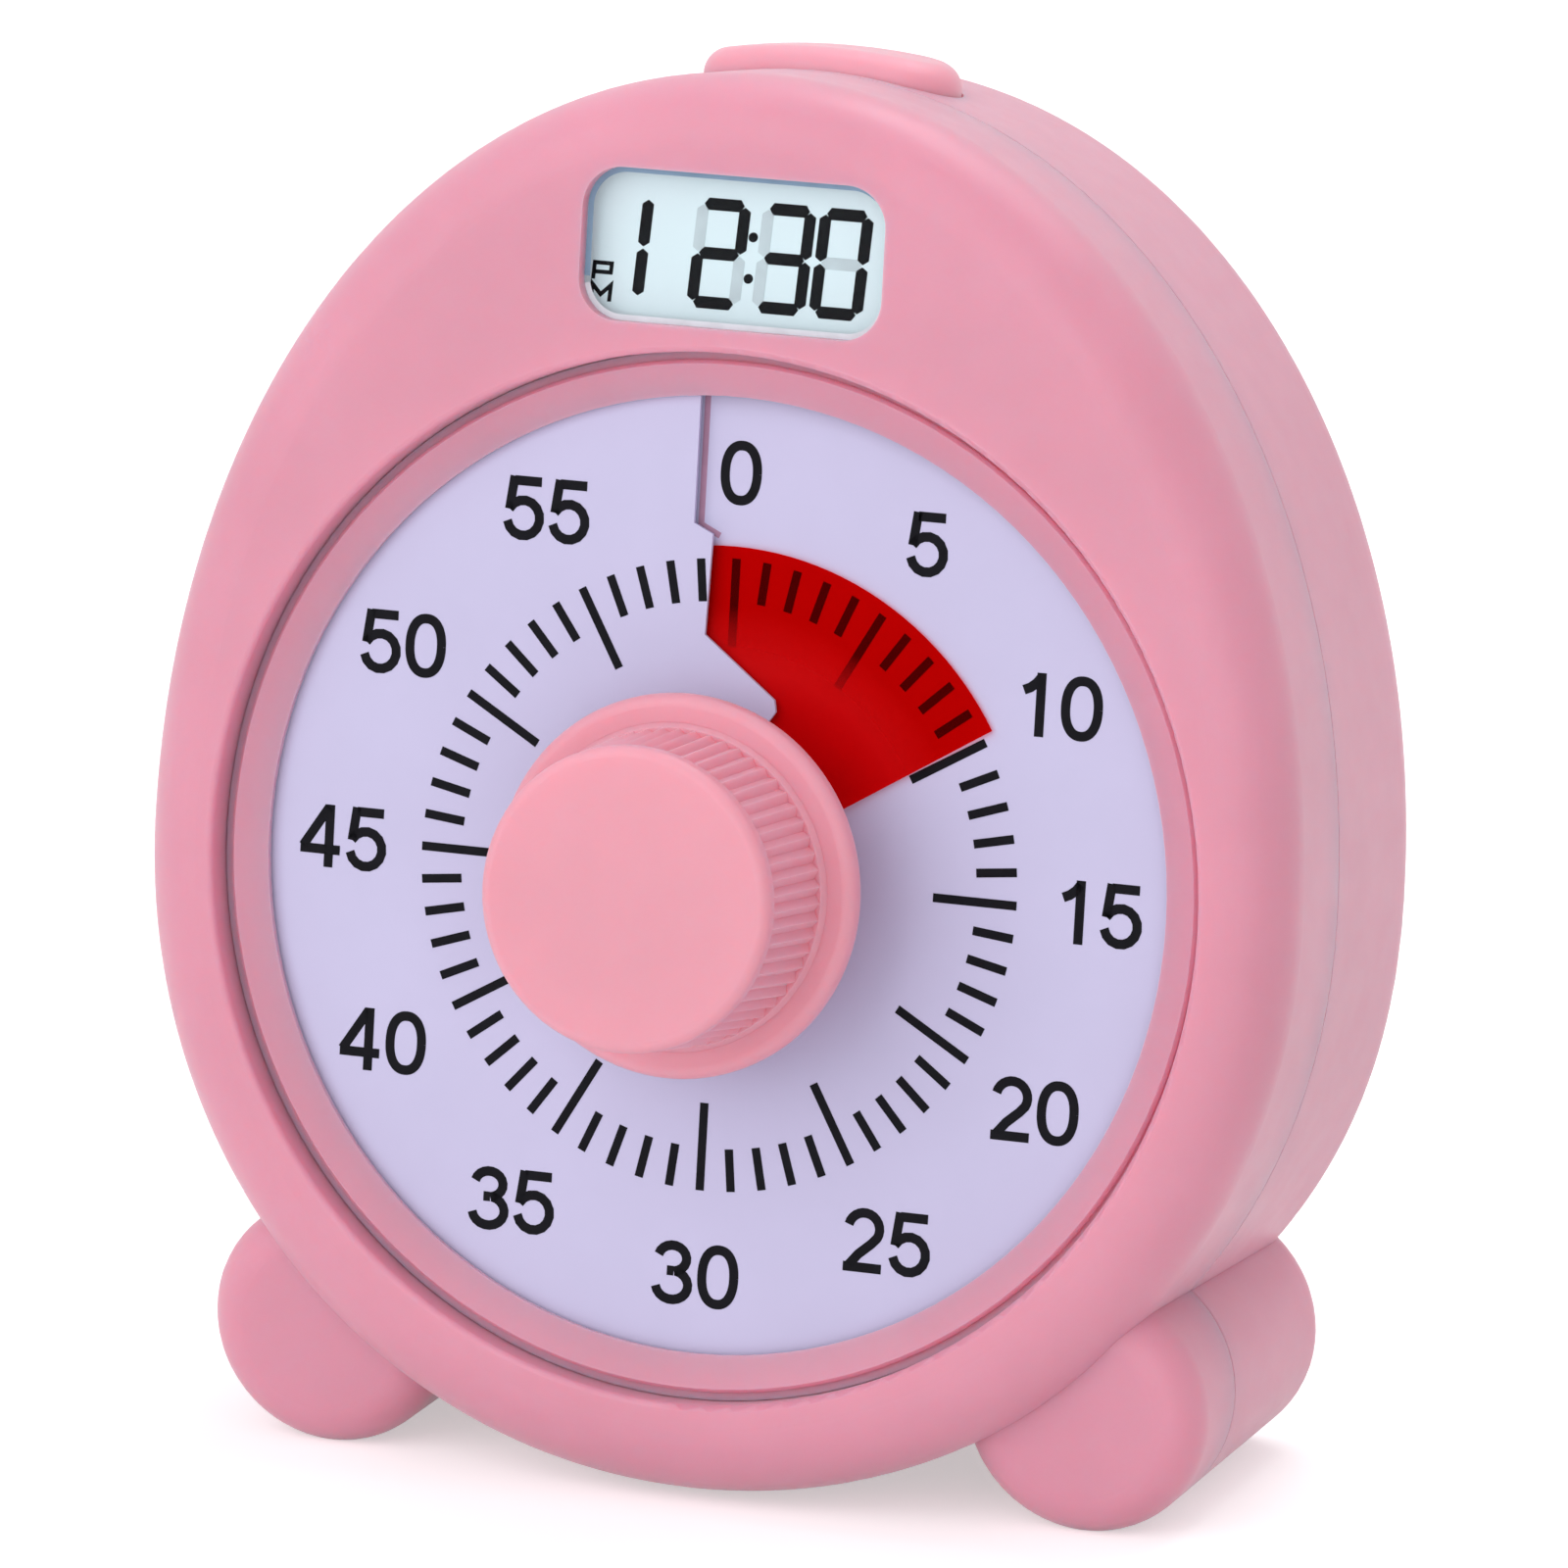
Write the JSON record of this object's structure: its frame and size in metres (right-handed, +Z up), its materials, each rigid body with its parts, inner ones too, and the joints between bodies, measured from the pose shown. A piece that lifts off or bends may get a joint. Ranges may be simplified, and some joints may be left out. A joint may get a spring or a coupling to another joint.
{
  "type": "visual countdown timer",
  "caption": "Egg-shaped visual countdown timer on round feet: a knurled knob draws a red disc over a minute dial, with a clock display above and a button on top.",
  "frame": {"origin": "centre of the bounding box on the surface that the feet stand on", "axes": "+Z up, +X to the right as seen from the front, +Y from the dial to the back"},
  "size_m": [0.0886, 0.0562, 0.1025],
  "materials": {
    "pink_shell": "satin moulded plastic",
    "pink_knob": "satin moulded plastic",
    "dial_white": "matt printed card",
    "red_film": "smooth translucent film",
    "steel": "turned",
    "zinc_screw": "zinc plated",
    "wheel_white": "moulded",
    "case_black": "moulded",
    "copper_coil": "enamelled wire",
    "clear_lens": "clear polished",
    "lcd_glass": "polarised display glass",
    "holder_white": "moulded",
    "contact_rubber": "striped rubber",
    "board_green": "laminate",
    "resin_black": "cast",
    "button_pink": "satin moulded plastic",
    "key_white": "satin moulded plastic",
    "switch_black": "moulded",
    "sounder_black": "moulded",
    "cell_label": "printed sleeve",
    "spring_steel": "nickel plated"
  },
  "bodies": {
    "housing": {"front_housing": "pink_shell", "rear_housing": "pink_shell", "dial_ring": "pink_shell", "dial_plate": "dial_white", "stator": "steel", "motor_coil": "copper_coil", "movement_case": "case_black", "movement_cover": "case_black", "movement_screws": "zinc_screw", "lcd_lens": "clear_lens", "lcd_panel": "lcd_glass", "lcd_holder": "holder_white", "zebra_strip": "contact_rubber", "main_board": "board_green", "board_chip": "resin_black", "board_screws": "zinc_screw", "top_switch": "switch_black", "setting_switches": "switch_black", "key_board": "board_green", "key_screws": "zinc_screw", "slider_board": "board_green", "slide_switch": "switch_black", "sounder": "sounder_black", "battery_cells": "cell_label", "contact_plates": "spring_steel", "contact_springs": "spring_steel", "shell_screws": "zinc_screw"},
    "knob": {"knob": "pink_knob", "spindle": "steel", "centre_wheel": "wheel_white", "clutch_washer": "spring_steel"},
    "red_disc": {"red_disc": "red_film"},
    "third_wheel": {"third_wheel": "wheel_white"},
    "rotor": {"rotor": "steel"},
    "top_button": {"top_button": "button_pink"},
    "mode_button": {"mode_button": "key_white"},
    "hour_button": {"hour_button": "key_white"},
    "minute_button": {"minute_button": "key_white"},
    "volume_slider": {"volume_slider": "key_white"},
    "battery_door": {"battery_door": "pink_shell"}
  },
  "joints": [
    {"name": "knob_turn", "type": "hinge", "parent": "housing", "child": "knob", "pos_m": [0, -0.0084, 0.04519], "axis": [0, 0.989, -0.1478], "range_deg": [-65.7, 301.3]},
    {"name": "disc_rise", "type": "slide", "parent": "knob", "child": "red_disc", "axis": [0, -0.989, 0.1478], "range_m": [-0.000174, 0.000763]},
    {"name": "third_wheel_turn", "type": "hinge", "parent": "housing", "child": "third_wheel", "pos_m": [-0.00893, -0.00525, 0.03316], "axis": [0, 0.989, -0.1478], "range_deg": [-1447.24, 316.36]},
    {"name": "rotor_turn", "type": "hinge", "parent": "housing", "child": "rotor", "pos_m": [-0.00393, -0.00653, 0.0246], "axis": [0, 0.989, -0.1478], "range_deg": [-1262.44, 5785.96]},
    {"name": "top_button_press", "type": "slide", "parent": "housing", "child": "top_button", "axis": [0, -0.1478, -0.989], "range_m": [0, 0.0012], "stiffness_N_per_m": 300, "springref_m": -0.001},
    {"name": "mode_button_press", "type": "slide", "parent": "housing", "child": "mode_button", "axis": [0, -0.989, 0.1478], "range_m": [0, 0.0008], "stiffness_N_per_m": 400, "springref_m": -0.0006},
    {"name": "hour_button_press", "type": "slide", "parent": "housing", "child": "hour_button", "axis": [0, -0.989, 0.1478], "range_m": [0, 0.0008], "stiffness_N_per_m": 400, "springref_m": -0.0006},
    {"name": "minute_button_press", "type": "slide", "parent": "housing", "child": "minute_button", "axis": [0, -0.989, 0.1478], "range_m": [0, 0.0008], "stiffness_N_per_m": 400, "springref_m": -0.0006},
    {"name": "volume_slide", "type": "slide", "parent": "housing", "child": "volume_slider", "axis": [1, 0, 0], "range_m": [-0.002, 0.002]},
    {"name": "battery_door_swing", "type": "hinge", "parent": "housing", "child": "battery_door", "pos_m": [0, 0.01556, 0.01269], "axis": [-1, 0, 0], "range_deg": [0, 78]}
  ],
  "couplings": [
    {"joint": "disc_rise", "follows": "knob_turn", "m_per_rad": 0.00014324},
    {"joint": "third_wheel_turn", "follows": "knob_turn", "ratio": -4.8},
    {"joint": "rotor_turn", "follows": "knob_turn", "ratio": 19.2}
  ]
}
